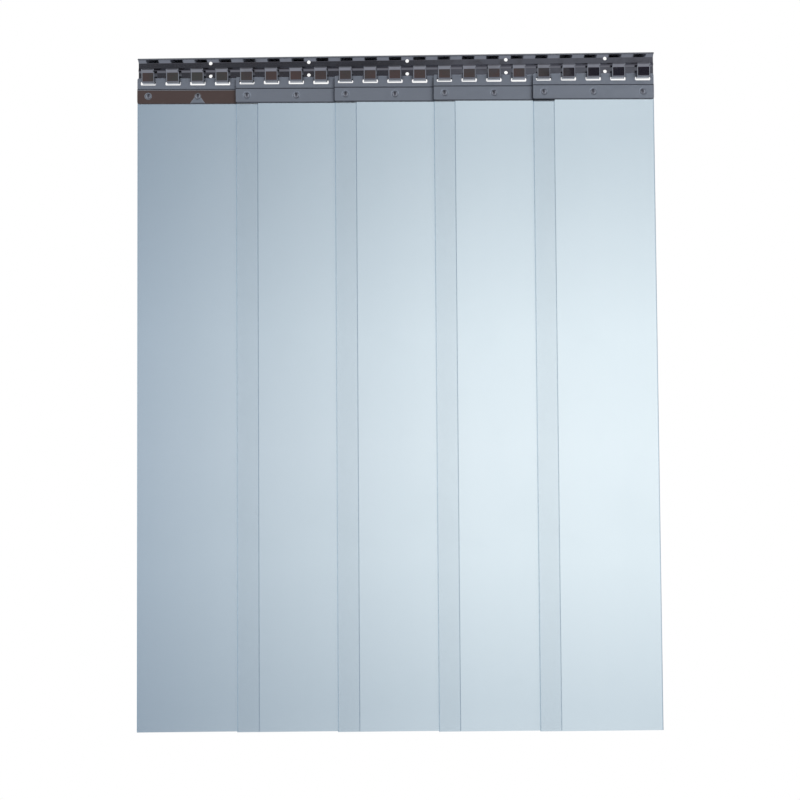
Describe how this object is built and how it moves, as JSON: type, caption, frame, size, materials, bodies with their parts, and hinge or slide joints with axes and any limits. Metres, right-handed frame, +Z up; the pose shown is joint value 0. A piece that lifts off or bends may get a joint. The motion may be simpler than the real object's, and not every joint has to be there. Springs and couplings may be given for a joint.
{
  "type": "pvc strip curtain",
  "caption": "Overlapping clear plastic strips riveted between steel hanger plates that hang on a comb rail of bent hooks.",
  "frame": {"origin": "middle of the rail's flat fixing face, at the height of the upper row of screw holes", "axes": "+Y out of the back of the rail, into the wall; +Z up; +X to the right of a viewer who faces the curtain"},
  "size_m": [0.856, 0.0155, 1.1105],
  "materials": {
    "rail": "polished stainless steel",
    "plate": "fine horizontal grain",
    "rivet": "set head, satin",
    "pvc": "clear, blue-tinted flexible PVC"
  },
  "bodies": {
    "rail": {"hook_rail": "rail"},
    "hanger_1": {"front_plate_1": "plate", "back_plate_1": "plate", "rivet_1_left": "rivet", "rivet_1_middle": "rivet", "rivet_1_right": "rivet", "strip_1_clamped_end": "pvc"},
    "hanger_2": {"front_plate_2": "plate", "back_plate_2": "plate", "rivet_2_left": "rivet", "rivet_2_middle": "rivet", "rivet_2_right": "rivet", "strip_2_clamped_end": "pvc"},
    "hanger_3": {"front_plate_3": "plate", "back_plate_3": "plate", "rivet_3_left": "rivet", "rivet_3_middle": "rivet", "rivet_3_right": "rivet", "strip_3_clamped_end": "pvc"},
    "hanger_4": {"front_plate_4": "plate", "back_plate_4": "plate", "rivet_4_left": "rivet", "rivet_4_middle": "rivet", "rivet_4_right": "rivet", "strip_4_clamped_end": "pvc"},
    "hanger_5": {"front_plate_5": "plate", "back_plate_5": "plate", "rivet_5_left": "rivet", "rivet_5_middle": "rivet", "rivet_5_right": "rivet", "strip_5_clamped_end": "pvc"},
    "strip_1": {"strip_1": "pvc"},
    "strip_2": {"strip_2": "pvc"},
    "strip_3": {"strip_3": "pvc"},
    "strip_4": {"strip_4": "pvc"},
    "strip_5": {"strip_5": "pvc"}
  },
  "joints": [
    {"name": "hanger_3_rock", "type": "hinge", "parent": "rail", "child": "hanger_3", "pos_m": [0, -0.006, -0.0321], "axis": [-1, 0, 0], "range_deg": [-4, 4]},
    {"name": "hanger_4_rock", "type": "hinge", "parent": "hanger_3", "child": "hanger_4", "pos_m": [0.164, -0.006, -0.0321], "axis": [-1, 0, 0], "range_deg": [0, 3]},
    {"name": "hanger_5_rock", "type": "hinge", "parent": "hanger_4", "child": "hanger_5", "pos_m": [0.328, -0.006, -0.0321], "axis": [-1, 0, 0], "range_deg": [0, 3]},
    {"name": "hanger_2_rock", "type": "hinge", "parent": "hanger_3", "child": "hanger_2", "pos_m": [-0.164, -0.006, -0.0321], "axis": [-1, 0, 0], "range_deg": [-3, 0]},
    {"name": "hanger_1_rock", "type": "hinge", "parent": "hanger_2", "child": "hanger_1", "pos_m": [-0.328, -0.006, -0.0321], "axis": [-1, 0, 0], "range_deg": [-3, 0]},
    {"name": "strip_3_swing", "type": "hinge", "parent": "hanger_3", "child": "strip_3", "pos_m": [0, -0.006, -0.07025], "axis": [-0.9996, -0.0287, 0], "range_deg": [-60, 60]},
    {"name": "strip_1_swing", "type": "hinge", "parent": "hanger_1", "child": "strip_1", "pos_m": [-0.328, -0.006, -0.07025], "axis": [-0.9996, -0.0287, 0], "range_deg": [-60, 60]},
    {"name": "strip_2_swing", "type": "hinge", "parent": "hanger_2", "child": "strip_2", "pos_m": [-0.164, -0.006, -0.07025], "axis": [-0.9996, -0.0287, 0], "range_deg": [-60, 60]},
    {"name": "strip_4_swing", "type": "hinge", "parent": "hanger_4", "child": "strip_4", "pos_m": [0.164, -0.006, -0.07025], "axis": [-0.9996, -0.0287, 0], "range_deg": [-60, 60]},
    {"name": "strip_5_swing", "type": "hinge", "parent": "hanger_5", "child": "strip_5", "pos_m": [0.328, -0.006, -0.07025], "axis": [-0.9996, -0.0287, 0], "range_deg": [-60, 60]}
  ],
  "couplings": [
    {"joint": "strip_1_swing", "follows": "strip_3_swing", "ratio": 1},
    {"joint": "strip_2_swing", "follows": "strip_3_swing", "ratio": 1},
    {"joint": "strip_4_swing", "follows": "strip_3_swing", "ratio": 1},
    {"joint": "strip_5_swing", "follows": "strip_3_swing", "ratio": 1}
  ]
}
